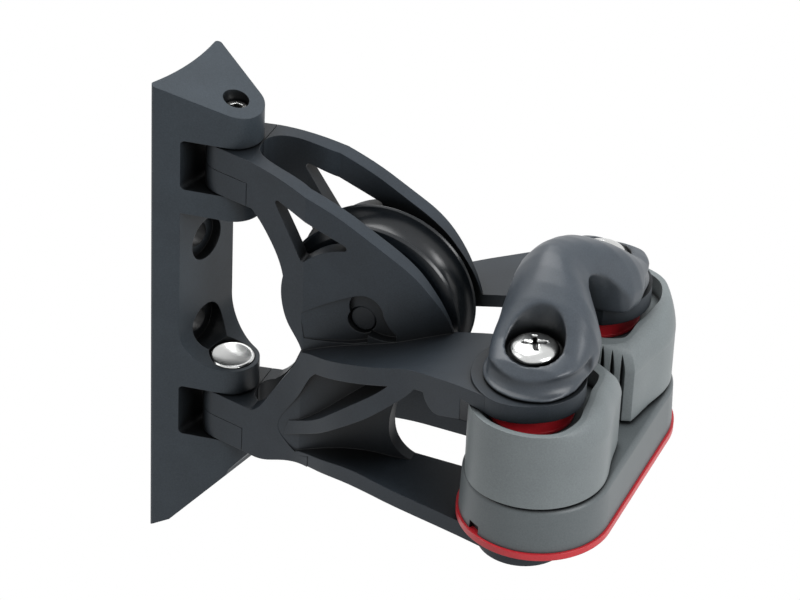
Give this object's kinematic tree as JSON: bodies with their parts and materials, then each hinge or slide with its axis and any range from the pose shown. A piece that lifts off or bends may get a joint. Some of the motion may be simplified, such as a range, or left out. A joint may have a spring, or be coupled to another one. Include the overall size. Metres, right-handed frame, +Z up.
{
  "type": "pivoting lead block with cam cleat",
  "caption": "Mast-mounted sailing block: a swinging two-part arm carries a ball bearing sheave and a cam cleat with a fairlead, hinged on a bracket that hugs the mast.",
  "frame": {"origin": "on the hollow mast face, on the bracket's centre line, midway between the two mast screws", "axes": "+X points straight out of the mast, +Z up the mast, +Y to the side away from the picture's viewer; the arm is stored swung 12.7 degrees from +X towards +Y"},
  "size_m": [0.1097, 0.0677, 0.1144],
  "materials": {
    "casting": "hard anodised, fine satin texture",
    "stainless": "polished stainless steel",
    "bearing_plastic": "black acetal",
    "sheave_black": "smooth black anodised",
    "cleat_grey": "moulded, smooth",
    "cam_grey": "moulded, smooth",
    "trim_red": "moulded red plastic",
    "fairlead_grey": "moulded, satin gloss"
  },
  "bodies": {
    "bracket": {"mast_bracket": "casting", "upper_hinge_pin": "stainless", "lower_hinge_pin": "stainless"},
    "arm": {"arm_front_half": "casting", "arm_back_half": "casting", "upper_hinge_bush": "bearing_plastic", "lower_hinge_bush": "bearing_plastic", "sheave_inner_race": "bearing_plastic", "sheave_balls": "bearing_plastic", "sheave_axle": "stainless", "cleat_base": "cleat_grey", "cleat_trim": "trim_red", "cam_hub_front": "bearing_plastic", "cam_hub_back": "bearing_plastic", "cam_race_front": "trim_red", "cam_race_back": "trim_red", "cam_balls_front": "bearing_plastic", "cam_balls_back": "bearing_plastic", "cam_spring_front": "stainless", "cam_spring_back": "stainless", "cleat_screw_front": "stainless", "cleat_screw_back": "stainless", "fairlead": "fairlead_grey"},
    "sheave": {"sheave": "sheave_black"},
    "cam_front": {"cam_front": "cam_grey"},
    "cam_back": {"cam_back": "cam_grey"}
  },
  "joints": [
    {"name": "arm_swing", "type": "hinge", "parent": "bracket", "child": "arm", "pos_m": [0.0127, 0, 0], "axis": [0, 0, 1], "range_deg": [-82, 57]},
    {"name": "sheave_spin", "type": "hinge", "parent": "arm", "child": "sheave", "pos_m": [0.04567, 0.00743, 0.0093], "axis": [-0.2198, 0.9755, 0], "continuous": true},
    {"name": "cam_front_open", "type": "hinge", "parent": "arm", "child": "cam_front", "pos_m": [0.09053, -0.00194, 0.001], "axis": [0, 0, 1], "range_deg": [-40, 0], "stiffness_Nm_per_rad": 0.02},
    {"name": "cam_back_open", "type": "hinge", "parent": "arm", "child": "cam_back", "pos_m": [0.08218, 0.03513, 0.001], "axis": [0, 0, 1], "range_deg": [0, 40], "stiffness_Nm_per_rad": 0.02}
  ]
}
